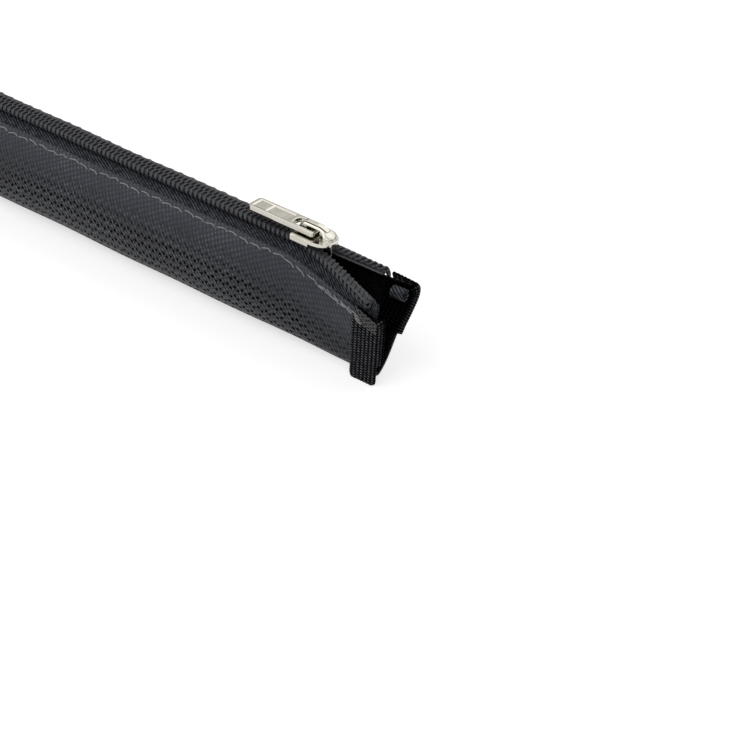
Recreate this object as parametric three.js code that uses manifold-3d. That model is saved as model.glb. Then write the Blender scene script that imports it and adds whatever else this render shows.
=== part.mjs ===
// A zippered cable sleeve: one mesh panel closed along its top by a coil zip.
// Millimetres. X runs along the sleeve with the open mouth at +X, -Y is the near side, +Z is up.
// The origin is the middle of the sleeve's footprint on the surface that it rests on.

import * as THREE from 'three';
import { mergeVertices } from 'three/addons/utils/BufferGeometryUtils.js';
import Module from 'manifold-3d';

const wasm = await Module();
wasm.setup();

// Driving dimensions of the sleeve

const sleeveLength = 250;
const closedWidth = 20.4;
const zipHeight = 26.2;
const sectionPower = 2.35;
const restFlat = 0.35;
const mouthSpread = 14.8;
const nearLipHeight = 21.4;
const farLipHeight = 22.4;
const foldHeight = 2.1;
const openingStart = 55;

// Cloth thicknesses and the running gap between layers

const panelThick = 0.8;
const tapeThick = 0.6;
const bindingThick = 0.8;
const layerGap = 0.2;

// Zip: tape, coil and where the two lips part

const tapeWidth = 11;
const seamInset = 5.6;
const seamInsetAtMouth = 3.8;
const lipGap = 0.8;
const coilPitch = 1.55;
const coilHeight = 2.2;
const coilHeadReach = 0.85;
const coilBackReach = 2.6;
const coilSeat = 0.12;
const splitBehindNose = 10;
const splitPower = 1.28;
const nearCoilSetback = 1.4;
const tapeSetback = 2;

// Bindings: webbing folded over the ends of the walls

const bindingWidth = 8;
const nearBindingTop = 3.2;
const nearBindingInnerFoot = 5.5;
const farBindingTop = 0.4;
const farBindingLength = 13;
const rearBindingFoot = 2.2;

// Slider and pull tab

const noseToMouth = 21;
const sliderLength = 11.5;
const sliderWidth = 8.5;
const bottomWidth = 5;
const plateThick = 0.9;
const channelRoom = 0.35;
const railThick = 0.6;
const railLength = 5.8;
const noseStart = 6.2;
const railFoot = 1.7;
const bottomPlateTop = 1.9;
const postWidth = 1.5;
const crownWidth = 3;
const crownNoseWidth = 5;
const crownHeight = 3.2;
const windowRear = 3.1;
const windowLength = 4.2;
const windowHeight = 2.05;
const springWidth = 1.3;
const springThick = 0.35;
const springGap = 0.15;
const pinFromNose = 6.4;
const pinDiameter = 1.4;
const tabLength = 20.4;
const tabWidth = 5.4;
const tabThick = 1.4;
const tabOpeningLength = 6.6;
const tabArmGap = 3.5;
const tabRim = 0.75;
const tabRecess = 0.35;

// Values that follow from the sizes above

const mouthX = sleeveLength / 2;
const noseX = mouthX - noseToMouth;
const sliderRearX = noseX - sliderLength;
const splitX = noseX - splitBehindNose;
const tapeTop = -panelThick / 2 - layerGap;
const tapeBottom = tapeTop - tapeThick;
const panelEnd = mouthX - bindingThick - layerGap;
const outerLegInside = panelThick / 2 + layerGap;
const innerLegInside = tapeBottom - layerGap;
const zipPlane = zipHeight + tapeTop;

// Materials

const cloth = (name, color, roughness) =>
  new THREE.MeshStandardMaterial({ name, color, roughness, metalness: 0 });
const meshCloth = cloth('mesh cloth', 0x34373d, 0.6);
const tapeCloth = cloth('zip tape', 0x2b2c31, 0.85);
const webbing = cloth('binding webbing', 0x1d1e21, 0.8);
const nylon = cloth('nylon coil', 0x3b3d42, 0.45);
const nickel = new THREE.MeshStandardMaterial({
  name: 'polished nickel',
  color: 0xcdc7bd,
  roughness: 0.2,
  metalness: 1,
});

// Section of the sleeve

const clamp01 = (v) => Math.min(1, Math.max(0, v));
const mix = (a, b, w) => a + (b - a) * w;
const smooth = (w) => w * w * (3 - 2 * w);
const controlCount = 14;

// The closed section is a superellipse, flattened a little where it rests.
function closedControl(i) {
  const side = i < controlCount / 2 ? -1 : 1;
  const step = side < 0 ? i : controlCount - 1 - i;
  const angle = (2 * Math.PI * step) / (controlCount - 1);
  const halfHeight = (zipHeight - panelThick / 2 + restFlat) / 2;
  const middle = zipHeight - halfHeight;
  const power = 2 / sectionPower;
  const across = Math.sin(angle) ** power;
  const up = Math.sign(Math.cos(angle)) * Math.abs(Math.cos(angle)) ** power;
  const y = side * Math.max(lipGap / 2, (closedWidth / 2) * across);
  return [y, middle + halfHeight * up];
}

// At the mouth the near wall stands upright and the far wall leans outwards from the bottom fold.
const farWallOutline = [
  [0.12, 0.05],
  [0.29, 0.19],
  [0.44, 0.36],
  [0.6, 0.53],
  [0.8, 0.69],
  [0.97, 0.86],
  [1, 1],
];

function mouthControl(i) {
  const nearY = -mouthSpread / 2;
  const foldY = nearY + 1.1;
  const nearCount = controlCount / 2 - 1;
  if (i < nearCount) {
    return [nearY, mix(nearLipHeight, foldHeight + 1.6, i / (nearCount - 1))];
  }
  if (i === nearCount) {
    return [foldY, foldHeight];
  }
  const [across, up] = farWallOutline[i - nearCount - 1];
  return [mix(foldY, mouthSpread / 2, across), mix(foldHeight, farLipHeight, up)];
}

function lipBlend(x) {
  return clamp01((x - splitX) / (mouthX - splitX)) ** splitPower;
}

function wallBlend(x) {
  return smooth(clamp01((x - (mouthX - openingStart)) / openingStart));
}

// The panel's edge comes closer to the lip where the zip stands open.
function seamInsetAt(x) {
  return mix(seamInset, seamInsetAtMouth, lipBlend(x));
}

// The section's centre line at a station, with distances measured from the near lip.
const sections = new Map();

function section(x) {
  const key = x.toFixed(4);
  if (sections.has(key)) {
    return sections.get(key);
  }
  const points = [];
  for (let i = 0; i < controlCount; i += 1) {
    const fromLip = Math.min(i, controlCount - 1 - i);
    const wallShare = clamp01([0, 0.15, 0.6][fromLip] ?? 1);
    const weight = mix(lipBlend(x), wallBlend(x), wallShare);
    const closed = closedControl(i);
    const open = mouthControl(i);
    points.push(new THREE.Vector3(0, mix(closed[0], open[0], weight), mix(closed[1], open[1], weight)));
  }
  const curve = new THREE.CatmullRomCurve3(points, false, 'centripetal');
  curve.arcLengthDivisions = 90;
  const length = curve.getLength();
  const at = (distance) => {
    const u = clamp01(distance / length);
    const point = curve.getPointAt(u);
    const tangent = curve.getTangentAt(u);
    return { y: point.y, z: point.z, ny: tangent.z, nz: -tangent.y };
  };
  const made = { length, at };
  sections.set(key, made);
  return made;
}

// A point on a wall: side -1 or 1, distance from that side's lip, height off the centre line.
function wallPoint(x, side, distance, offset) {
  const here = section(x);
  const frame = here.at(side < 0 ? distance : here.length - distance);
  return [x, frame.y + frame.ny * offset, frame.z + frame.nz * offset];
}

// Closed meshes from rings of points, each ring with the same count

function geometryOf(positions, indices) {
  const geometry = new THREE.BufferGeometry();
  geometry.setAttribute('position', new THREE.Float32BufferAttribute(positions, 3));
  geometry.setIndex(indices);
  return geometry;
}

function signedVolume(geometry) {
  const p = geometry.getAttribute('position');
  const index = geometry.getIndex();
  const corner = [new THREE.Vector3(), new THREE.Vector3(), new THREE.Vector3()];
  let sum = 0;
  for (let i = 0; i < index.count; i += 3) {
    corner.forEach((v, k) => v.fromBufferAttribute(p, index.getX(i + k)));
    sum += corner[0].dot(corner[1].clone().cross(corner[2]));
  }
  return sum / 6;
}

function facingOut(geometry) {
  if (signedVolume(geometry) > 0) {
    return geometry;
  }
  const flipped = [...geometry.getIndex().array];
  for (let i = 0; i < flipped.length; i += 3) {
    [flipped[i], flipped[i + 1]] = [flipped[i + 1], flipped[i]];
  }
  geometry.setIndex(flipped);
  return geometry;
}

function loft(rings, profile) {
  const count = profile.length;
  const positions = rings.flat(2);
  const indices = [];
  for (let r = 0; r + 1 < rings.length; r += 1) {
    for (let k = 0; k < count; k += 1) {
      const a = r * count + k;
      const b = r * count + ((k + 1) % count);
      indices.push(a, b, b + count, a, b + count, a + count);
    }
  }
  const contour = profile.map(([u, v]) => new THREE.Vector2(u, v));
  const reversed = THREE.ShapeUtils.isClockWise(contour);
  const caps = THREE.ShapeUtils.triangulateShape(contour, []);
  const last = (rings.length - 1) * count;
  for (const [a, b, c] of caps) {
    const turn = reversed ? [a, c, b] : [a, b, c];
    indices.push(turn[0], turn[2], turn[1]);
    indices.push(last + turn[0], last + turn[1], last + turn[2]);
  }
  return geometryOf(positions, indices);
}

// Stations along the sleeve: far apart where it is straight, close together where it opens
function stations(from, to) {
  const list = [from];
  const curved = mouthX - openingStart;
  const straightStep = 45;
  const curvedStep = 4;
  for (let x = from + straightStep; x < Math.min(curved, to) - 5; x += straightStep) {
    list.push(x);
  }
  for (let x = Math.max(curved, from + 1); x < to - 1.5; x += curvedStep) {
    list.push(x);
  }
  list.push(to);
  return list;
}

function addPiece(group, name, geometry, material) {
  const mesh = new THREE.Mesh(facingOut(geometry), material);
  mesh.name = name;
  group.add(mesh);
  return mesh;
}

// Mesh panel: one wall from seam to seam, round the bottom

function panelGeometry() {
  const across = 23;
  const rings = stations(-panelEnd, panelEnd).map((x) => {
    const length = section(x).length;
    const outer = [];
    const inner = [];
    for (let k = 0; k <= across; k += 1) {
      const inset = seamInsetAt(x);
      const distance = mix(inset, length - inset, k / across);
      const out = wallPoint(x, -1, distance, panelThick / 2);
      const edge = wallPoint(x, -1, distance, -panelThick / 2);
      outer.push([x, out[1], Math.max(0, out[2])]);
      inner.push([x, edge[1], Math.max(panelThick, edge[2])]);
    }
    return [...outer, ...inner.reverse()];
  });
  const profile = rings[0].map(([, y, z]) => [y, z]);
  return loft(rings, profile);
}

// Zip tape: a flat strip under each edge of the panel

function tapeGeometry(side) {
  const across = 5;
  const end = mouthX - tapeSetback;
  const rings = stations(-end, end).map((x) => {
    const top = [];
    const bottom = [];
    for (let k = 0; k <= across; k += 1) {
      const distance = (tapeWidth * k) / across;
      top.push(wallPoint(x, side, distance, tapeTop));
      bottom.push(wallPoint(x, side, distance, tapeBottom));
    }
    return [...top, ...bottom.reverse()];
  });
  return loft(rings, rings[0].map(([, y, z]) => [y, z]));
}

// Coil: ribs with a rounded top that reach between the ribs of the other side

const ribProfile = [
  [-coilHeadReach, 0.25],
  [-coilHeadReach, 0.75],
  [-coilHeadReach * 0.2, 1],
  [coilBackReach * 0.65, 1],
  [coilBackReach, 0.7],
  [coilBackReach, 0.05],
  [coilHeadReach * 0.2, 0.05],
];
const valleyProfile = [
  [lipGap * 0.45, 0.3],
  [lipGap * 0.45, 0.55],
  [lipGap * 0.9, 0.78],
  [coilBackReach * 0.65, 0.78],
  [coilBackReach * 0.88, 0.55],
  [coilBackReach * 0.88, 0.05],
  [lipGap * 0.8, 0.05],
];

function coilRing(x, side, profile) {
  const lip = wallPoint(x, side, 0, 0);
  const back = wallPoint(x, side, coilBackReach, 0);
  const along = new THREE.Vector2(back[1] - lip[1], back[2] - lip[2]).normalize();
  const up = new THREE.Vector2(-side * -along.y, -side * along.x).multiplyScalar(-1);
  if (up.y < 0) {
    up.negate();
  }
  return profile.map(([s, share]) => {
    const rise = tapeTop + coilSeat + share * (coilHeight - coilSeat);
    return [x, lip[1] + along.x * s + up.x * rise, lip[2] + along.y * s + up.y * rise];
  });
}

function coilGeometry(side, from, to) {
  const half = coilPitch / 2;
  const first = Math.ceil(from / half);
  const last = Math.floor(to / half);
  const rings = [];
  for (let k = first; k <= last; k += 1) {
    const even = k % 2 === 0;
    const profile = even === side < 0 ? ribProfile : valleyProfile;
    rings.push(coilRing(k * half, side, profile));
  }
  return loft(rings, ribProfile);
}

// Bindings: a U of webbing over the end of a wall

const foldChamfer = 0.45;

function uProfile(wide) {
  const outer = outerLegInside + bindingThick;
  const inner = innerLegInside - bindingThick;
  const end = wide - bindingThick;
  return [
    [0, outer],
    [wide - foldChamfer, outer],
    [wide, outer - foldChamfer],
    [wide, inner + foldChamfer],
    [wide - foldChamfer, inner],
    [0, inner],
    [0, innerLegInside],
    [end, innerLegInside],
    [end, outerLegInside],
    [0, outerLegInside],
  ];
}

// The wall under a binding, taken at the sleeve's end so that the webbing stays straight across it.
function bindingGeometry(end, side, from, to) {
  const steps = Math.max(4, Math.round((to - from) / 1.6));
  const profile = uProfile(bindingWidth);
  const rings = [];
  for (let k = 0; k <= steps; k += 1) {
    const distance = mix(from, to, k / steps);
    rings.push(
      profile.map(([depth, offset]) => {
        const x = end * (mouthX - bindingWidth + depth);
        return wallPoint(x, side, distance, offset);
      }),
    );
  }
  return loft(rings, profile);
}

// Below the inner leg the near binding runs on straight down, past the bottom fold.
function nearFootGeometry(from) {
  const outer = outerLegInside + bindingThick;
  const profile = [
    [0, outer],
    [bindingWidth - foldChamfer, outer],
    [bindingWidth, outer - foldChamfer],
    [bindingWidth, outerLegInside],
    [0, outerLegInside],
  ];
  const overlap = 0.4;
  const start = profile.map(([depth, offset]) => {
    return wallPoint(mouthX - bindingWidth + depth, -1, from - overlap, offset);
  });
  const foot = start.map(([x, y]) => [x, y, 0]);
  return loft([start, foot], profile);
}

// Distance from the near lip at which a wall comes down to a height
function distanceAt(x, height) {
  const step = 0.1;
  const most = section(x).length / 2;
  let distance = 0;
  while (distance < most && wallPoint(x, -1, distance, 0)[2] > height) {
    distance += step;
  }
  return distance;
}

// Manifold helpers: solids join and cut, then go back to a mesh

function toSolid(geometry) {
  const bare = facingOut(geometry.index ? geometry.clone() : mergeVertices(stripped(geometry)));
  const merged = facingOut(mergeVertices(stripped(bare), 1e-4));
  return new wasm.Manifold(
    new wasm.Mesh({
      numProp: 3,
      vertProperties: new Float32Array(merged.getAttribute('position').array),
      triVerts: new Uint32Array(merged.getIndex().array),
    }),
  );
}

function stripped(geometry) {
  const copy = geometry.clone();
  copy.deleteAttribute('normal');
  copy.deleteAttribute('uv');
  return copy;
}

function fromSolid(solid) {
  const mesh = solid.getMesh();
  return geometryOf([...mesh.vertProperties], [...mesh.triVerts]);
}

// A flat outline in X and Y, raised from one height to another
function plate(shape, low, high, curveSegments = 10) {
  const geometry = new THREE.ExtrudeGeometry(shape, {
    depth: high - low,
    bevelEnabled: false,
    curveSegments,
  });
  geometry.translate(0, 0, low);
  return toSolid(geometry);
}

function block(x0, x1, y0, y1, z0, z1) {
  const geometry = new THREE.BoxGeometry(x1 - x0, y1 - y0, z1 - z0);
  geometry.translate((x0 + x1) / 2, (y0 + y1) / 2, (z0 + z1) / 2);
  return toSolid(geometry);
}

// Slider, in its own frame: X from its rear end, Z from the top of the tape

const coilTop = coilHeight;
const topPlateLow = coilTop + channelRoom;
const topPlateHigh = topPlateLow + plateThick;
const crownTop = topPlateHigh + crownHeight;
const pinX = sliderLength - pinFromNose;
const pinZ = topPlateHigh + windowHeight / 2 + 0.1;

// Both plates: straight sides, a little narrower at the rear, and a round nose
function sliderOutline(width) {
  const shape = new THREE.Shape();
  const half = width / 2;
  const rearHalf = half * 0.94;
  shape.moveTo(0, -rearHalf);
  shape.lineTo(noseStart * 0.5, -half);
  shape.absellipse(noseStart, 0, sliderLength - noseStart, half, -Math.PI / 2, Math.PI / 2, false);
  shape.lineTo(noseStart * 0.5, half);
  shape.lineTo(0, rearHalf);
  return shape;
}

function crownWidthAt(x) {
  const start = windowRear + windowLength;
  return mix(crownWidth, crownNoseWidth, smooth(clamp01((x - start) / (sliderLength - start - 1.5))));
}

function crownHeightAt(x) {
  const rise = Math.sin(Math.PI * 0.5 * clamp01(x / 2.4)) ** 0.6;
  const fallStart = sliderLength * 0.52;
  const fall = Math.cos(Math.PI * 0.5 * clamp01((x - fallStart) / (sliderLength - fallStart))) ** 0.75;
  return Math.max(0.12, crownHeight * rise * fall);
}

// The crown is a domed bridge that runs from the slider's rear end down to its nose.
function crownSolid() {
  const rings = [];
  const arc = 12;
  const steps = 26;
  const front = sliderLength - 0.5;
  const roundedFrom = sliderLength - 2.6;
  for (let k = 0; k <= steps; k += 1) {
    const x = mix(0.25, front, k / steps);
    const turn = clamp01((x - roundedFrom) / (front - roundedFrom));
    const half = (crownWidthAt(x) / 2) * Math.sqrt(1 - 0.93 * turn * turn);
    const height = crownHeightAt(x);
    const ring = [
      [x, half, topPlateLow + 0.3],
      [x, -half, topPlateLow + 0.3],
    ];
    for (let j = 0; j <= arc; j += 1) {
      const angle = Math.PI * (1 - j / arc);
      const y = half * Math.cos(angle);
      const z = topPlateHigh + height * (0.5 + 0.5 * Math.sin(angle) ** 0.8);
      ring.push([x, y, z]);
    }
    rings.push(ring);
  }
  return toSolid(loft(rings, rings[0].map(([, y, z]) => [y, z])));
}

function springCentre(k, steps) {
  const x = mix(1.2, sliderLength - 2.4, k / steps);
  return [x, topPlateHigh + crownHeightAt(x)];
}

// A strip that follows the crown's top between two depths below it
function crownStrip(wide, high, low) {
  const steps = 12;
  const rings = [];
  for (let k = 0; k <= steps; k += 1) {
    const [x, z] = springCentre(k, steps);
    rings.push([
      [x, -wide / 2, z + low],
      [x, wide / 2, z + low],
      [x, wide / 2, z + high],
      [x, -wide / 2, z + high],
    ]);
  }
  return loft(rings, rings[0].map(([, y, z]) => [y, z]));
}

function sliderBodyGeometry() {
  const inside = sliderWidth / 2 - railThick;
  const windowTop = topPlateHigh + windowHeight + 0.2;
  const rail = (side) =>
    block(
      0,
      railLength,
      side < 0 ? -sliderWidth / 2 : inside,
      side < 0 ? -inside : sliderWidth / 2,
      railFoot,
      topPlateHigh - 0.2,
    );
  const post = new THREE.Shape();
  post.moveTo(sliderLength - 3.4, 0);
  post.lineTo(sliderLength - 1.6, -postWidth / 2);
  post.lineTo(sliderLength - 0.7, -postWidth / 2);
  post.lineTo(sliderLength - 0.7, postWidth / 2);
  post.lineTo(sliderLength - 1.6, postWidth / 2);
  post.closePath();
  const bottomLow = tapeLow() - plateThick;
  const solid = plate(sliderOutline(sliderWidth), topPlateLow, topPlateHigh)
    .add(rail(-1))
    .add(rail(1))
    .add(plate(sliderOutline(bottomWidth), bottomLow, tapeLow()))
    .add(plate(post, bottomLow + 0.2, topPlateHigh - 0.2))
    .add(crownSolid())
    .subtract(
      block(windowRear, windowRear + windowLength, -sliderWidth, sliderWidth, topPlateHigh, windowTop),
    )
    .subtract(toSolid(crownStrip(springWidth + 2 * springGap, 1, -springThick - springGap)));
  return fromSolid(solid);
}

function tapeLow() {
  return -bottomPlateTop;
}

// Pull tab, in its own frame: the pin along Y at the origin, the tab lying back towards -X

function tabOutline() {
  const half = tabWidth / 2;
  const corner = 1.1;
  const front = tabThick / 2 + 0.25;
  const shape = new THREE.Shape();
  shape.moveTo(front, -half + 0.4);
  shape.lineTo(front, half - 0.4);
  shape.lineTo(front - 0.4, half);
  shape.lineTo(-tabLength + corner, half * 0.94);
  shape.quadraticCurveTo(-tabLength, half * 0.94, -tabLength, half * 0.94 - corner);
  shape.lineTo(-tabLength, -half * 0.94 + corner);
  shape.quadraticCurveTo(-tabLength, -half * 0.94, -tabLength + corner, -half * 0.94);
  shape.lineTo(front - 0.4, -half);
  return shape;
}

function pullTabGeometry() {
  const low = -tabThick / 2;
  const high = tabThick / 2;
  const front = tabThick / 2 + 0.25;
  const openingEnd = -tabOpeningLength;
  const opening = new THREE.Shape();
  opening.moveTo(front + 1, -tabArmGap / 2);
  opening.lineTo(front + 1, tabArmGap / 2);
  opening.lineTo(openingEnd + 1.2, tabArmGap / 2);
  opening.quadraticCurveTo(openingEnd, tabArmGap / 2, openingEnd, 0);
  opening.quadraticCurveTo(openingEnd, -tabArmGap / 2, openingEnd + 1.2, -tabArmGap / 2);
  const panelHalf = tabWidth / 2 - tabRim - 0.1;
  const panelFront = openingEnd - 1.1;
  const panelBack = -tabLength + tabRim + 0.3;
  const stepAt = panelBack + 4.2;
  const pin = new THREE.CylinderGeometry(pinDiameter / 2, pinDiameter / 2, tabArmGap + 0.6, 14);
  const recess = (x0, x1, depth) => [
    block(x0, x1, -panelHalf, panelHalf, high - depth, high + 1),
    block(x0, x1, -panelHalf, panelHalf, low - 1, low + depth),
  ];
  const cuts = [...recess(panelBack, stepAt, tabRecess * 0.5), ...recess(stepAt, panelFront, tabRecess)];
  let solid = plate(tabOutline(), low, high).subtract(plate(opening, low - 1, high + 1));
  for (const cut of cuts) {
    solid = solid.subtract(cut);
  }
  return fromSolid(solid.add(toSolid(pin)));
}

// Assembly

const sleeve = new THREE.Group();

addPiece(sleeve, 'mesh_panel', panelGeometry(), meshCloth);
addPiece(sleeve, 'near_zip_tape', tapeGeometry(-1), tapeCloth);
addPiece(sleeve, 'far_zip_tape', tapeGeometry(1), tapeCloth);

const rearCoilEnd = -mouthX + tapeSetback + 1;
addPiece(sleeve, 'near_coil', coilGeometry(-1, rearCoilEnd, mouthX - tapeSetback - nearCoilSetback), nylon);
addPiece(sleeve, 'far_coil', coilGeometry(1, rearCoilEnd, mouthX - bindingWidth - layerGap), nylon);

const nearFootFrom = distanceAt(mouthX, nearBindingInnerFoot);
const nearBinding = toSolid(bindingGeometry(1, -1, nearBindingTop, nearFootFrom))
  .add(toSolid(nearFootGeometry(nearFootFrom)));
addPiece(sleeve, 'mouth_near_binding', fromSolid(nearBinding), webbing);
addPiece(
  sleeve,
  'mouth_far_binding',
  bindingGeometry(1, 1, farBindingTop, farBindingTop + farBindingLength),
  webbing,
);
const rearTo = distanceAt(-mouthX, rearBindingFoot);
addPiece(sleeve, 'rear_near_binding', bindingGeometry(-1, -1, nearBindingTop, rearTo), webbing);
addPiece(sleeve, 'rear_far_binding', bindingGeometry(-1, 1, nearBindingTop, rearTo), webbing);

const slider = new THREE.Group();
slider.position.set(sliderRearX, 0, zipPlane);
addPiece(slider, 'slider_body', sliderBodyGeometry(), nickel);
addPiece(slider, 'lock_spring', crownStrip(springWidth, 0.02, -springThick), nickel);

const pull = new THREE.Group();
pull.position.set(pinX, 0, pinZ);
addPiece(pull, 'pull_tab', pullTabGeometry(), nickel);
slider.add(pull);
sleeve.add(slider);

export default sleeve;
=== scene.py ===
"""A zippered cable sleeve of coated mesh, with its zip partly open at the near end."""
import math

import bmesh
import bpy
import numpy as np
from mathutils import Matrix, Vector

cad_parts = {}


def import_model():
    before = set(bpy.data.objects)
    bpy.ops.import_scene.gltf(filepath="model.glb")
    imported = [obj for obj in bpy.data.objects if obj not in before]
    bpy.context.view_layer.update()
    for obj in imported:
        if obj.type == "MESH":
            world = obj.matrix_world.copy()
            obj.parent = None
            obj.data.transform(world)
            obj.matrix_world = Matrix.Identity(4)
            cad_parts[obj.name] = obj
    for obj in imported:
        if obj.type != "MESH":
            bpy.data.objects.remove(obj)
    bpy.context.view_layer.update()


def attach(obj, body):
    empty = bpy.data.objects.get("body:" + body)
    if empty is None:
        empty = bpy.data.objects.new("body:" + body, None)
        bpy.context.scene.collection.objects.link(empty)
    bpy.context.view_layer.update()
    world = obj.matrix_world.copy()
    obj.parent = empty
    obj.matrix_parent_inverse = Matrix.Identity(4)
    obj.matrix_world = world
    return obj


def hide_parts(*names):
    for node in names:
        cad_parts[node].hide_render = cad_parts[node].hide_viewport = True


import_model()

MM = 0.001

# The sleeve's sizes in millimetres, as in the solid model
SLEEVE_LENGTH = 250.0
CLOSED_WIDTH = 20.4
ZIP_HEIGHT = 26.2
SECTION_POWER = 2.35
REST_FLAT = 0.35
MOUTH_SPREAD = 14.8
NEAR_LIP_HEIGHT = 21.4
FAR_LIP_HEIGHT = 22.4
FOLD_HEIGHT = 2.1
OPENING_START = 55.0
PANEL_THICK = 0.8
TAPE_THICK = 0.6
BINDING_THICK = 0.8
LAYER_GAP = 0.2
TAPE_WIDTH = 11.0
SEAM_INSET = 5.6
SEAM_INSET_AT_MOUTH = 3.8
LIP_GAP = 0.8
COIL_PITCH = 1.55
COIL_HEIGHT = 2.2
COIL_HEAD = 0.85
COIL_BACK = 2.6
NOSE_TO_MOUTH = 21.0
SPLIT_BEHIND_NOSE = 10.0
SPLIT_POWER = 1.28
BINDING_WIDTH = 8.0
TAPE_SETBACK = 2.0
CONTROLS = 14
# Shares of the way across and up, from the fold to the far lip
FAR_WALL = [
    (0.12, 0.05), (0.29, 0.19), (0.44, 0.36), (0.6, 0.53), (0.8, 0.69), (0.97, 0.86), (1, 1),
]
NEAR_BINDING_TOP = 3.2
NEAR_BINDING_INNER_FOOT = 5.5
FAR_BINDING_TOP = 0.4
FAR_BINDING_LENGTH = 13.0
REAR_BINDING_FOOT = 2.2
NEAR_COIL_SETBACK = 1.4

MOUTH_X = SLEEVE_LENGTH / 2
SPLIT_X = MOUTH_X - NOSE_TO_MOUTH - SPLIT_BEHIND_NOSE
TAPE_TOP = -PANEL_THICK / 2 - LAYER_GAP
TAPE_BOTTOM = TAPE_TOP - TAPE_THICK
PANEL_END = MOUTH_X - BINDING_THICK - LAYER_GAP
OUTER_LEG = PANEL_THICK / 2 + LAYER_GAP
INNER_LEG = TAPE_BOTTOM - LAYER_GAP
REAR_COIL_END = -MOUTH_X + TAPE_SETBACK + 1

BINDING_START = MOUTH_X - BINDING_WIDTH
NEAR_COIL_END = MOUTH_X - TAPE_SETBACK - NEAR_COIL_SETBACK
FAR_COIL_END = BINDING_START - LAYER_GAP

# Threads, filament and webbing, in millimetres
STITCH_PITCH = 3.75
SEAM_BELOW_EDGE = 1.5
THREAD_RADIUS = 0.15
TACK_RADIUS = 0.13
WIRE_RADIUS = 0.36
WIRE_LIFT = 0.12
RIBS = 6.5
RIB_DEPTH = 0.16
CORNER = 0.9


# Sections of the sleeve
def clamp01(v):
    return min(1.0, max(0.0, v))


def mix(a, b, w):
    return a + (b - a) * w


def smooth(w):
    return w * w * (3 - 2 * w)


def quarter_round(w):
    """Rises from 0 to 1 along a quarter circle."""
    return math.sqrt(1 - (1 - clamp01(w)) ** 2)


def closed_control(i):
    side = -1 if i < CONTROLS / 2 else 1
    step = i if side < 0 else CONTROLS - 1 - i
    angle = 2 * math.pi * step / (CONTROLS - 1)
    half_height = (ZIP_HEIGHT - PANEL_THICK / 2 + REST_FLAT) / 2
    power = 2 / SECTION_POWER
    across = math.sin(angle) ** power
    up = math.copysign(abs(math.cos(angle)) ** power, math.cos(angle))
    y = side * max(LIP_GAP / 2, CLOSED_WIDTH / 2 * across)
    return y, ZIP_HEIGHT - half_height + half_height * up


def mouth_control(i):
    near_y = -MOUTH_SPREAD / 2
    fold_y = near_y + 1.1
    near_count = CONTROLS // 2 - 1
    if i < near_count:
        return near_y, mix(NEAR_LIP_HEIGHT, FOLD_HEIGHT + 1.6, i / (near_count - 1))
    if i == near_count:
        return fold_y, FOLD_HEIGHT
    across, up = FAR_WALL[i - near_count - 1]
    return mix(fold_y, MOUTH_SPREAD / 2, across), mix(FOLD_HEIGHT, FAR_LIP_HEIGHT, up)


def curve_through(points, per_span=26):
    """A centripetal Catmull-Rom curve through the points."""
    p = [np.array(q, float) for q in points]
    p = [2 * p[0] - p[1], *p, 2 * p[-1] - p[-2]]
    out = []
    for a, b, c, d in zip(p, p[1:], p[2:], p[3:]):
        t1 = max(np.linalg.norm(b - a) ** 0.5, 1e-4)
        t2 = t1 + max(np.linalg.norm(c - b) ** 0.5, 1e-4)
        t3 = t2 + max(np.linalg.norm(d - c) ** 0.5, 1e-4)
        for t in np.linspace(t1, t2, per_span, endpoint=False):
            ab = a + (b - a) * t / t1
            bc = b + (c - b) * (t - t1) / (t2 - t1)
            cd = c + (d - c) * (t - t2) / (t3 - t2)
            abc = ab + (bc - ab) * t / t2
            bcd = bc + (cd - bc) * (t - t1) / (t3 - t1)
            out.append(abc + (bcd - abc) * (t - t1) / (t2 - t1))
    out.append(p[-2])
    return np.array(out)


SECTIONS = {}


def section(x):
    """The wall's centre line at a station, as points, distances from the near lip and normals."""
    x = max(x, MOUTH_X - OPENING_START)
    key = round(x, 3)
    if key not in SECTIONS:
        lip = lip_blend(x)
        wall = smooth(clamp01((x - MOUTH_X + OPENING_START) / OPENING_START))
        points = []
        for i in range(CONTROLS):
            share = {0: 0, 1: 0.15, 2: 0.6}.get(min(i, CONTROLS - 1 - i), 1)
            w = mix(lip, wall, share)
            a, b = closed_control(i), mouth_control(i)
            points.append((mix(a[0], b[0], w), mix(a[1], b[1], w)))
        line = curve_through(points)
        steps = np.linalg.norm(np.diff(line, axis=0), axis=1)
        at = np.concatenate([[0], np.cumsum(steps)])
        tangent = np.gradient(line, axis=0)
        tangent /= np.linalg.norm(tangent, axis=1)[:, None]
        normal = np.stack([tangent[:, 1], -tangent[:, 0]], 1)
        SECTIONS[key] = (line, at, normal)
    return SECTIONS[key]


def girth(x):
    return section(x)[1][-1]


def lip_blend(x):
    return clamp01((x - SPLIT_X) / (MOUTH_X - SPLIT_X)) ** SPLIT_POWER


def seam_inset(x):
    """Distance from the lip to the panel's edge."""
    return mix(SEAM_INSET, SEAM_INSET_AT_MOUTH, lip_blend(x))


def seam_line(x):
    return seam_inset(x) + SEAM_BELOW_EDGE


def wall_point(x, side, distance, offset):
    """A point on a wall: distance from that side's lip, offset off the centre line."""
    line, at, normal = section(x)
    s = distance if side < 0 else at[-1] - distance
    n = np.array([np.interp(s, at, normal[:, k]) for k in (0, 1)])
    n /= np.linalg.norm(n)
    p = np.array([np.interp(s, at, line[:, k]) for k in (0, 1)])
    return np.array([x, *(p + n * offset)])


def lip_frame(x, side):
    """The lip's point and its two directions: back into the wall, and up off the tape."""
    lip = wall_point(x, side, 0, 0)[1:]
    back = wall_point(x, side, COIL_BACK, 0)[1:]
    along = (back - lip) / np.linalg.norm(back - lip)
    up = np.array([-along[1], along[0]])
    return lip, along, up if up[1] > 0 else -up


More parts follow.
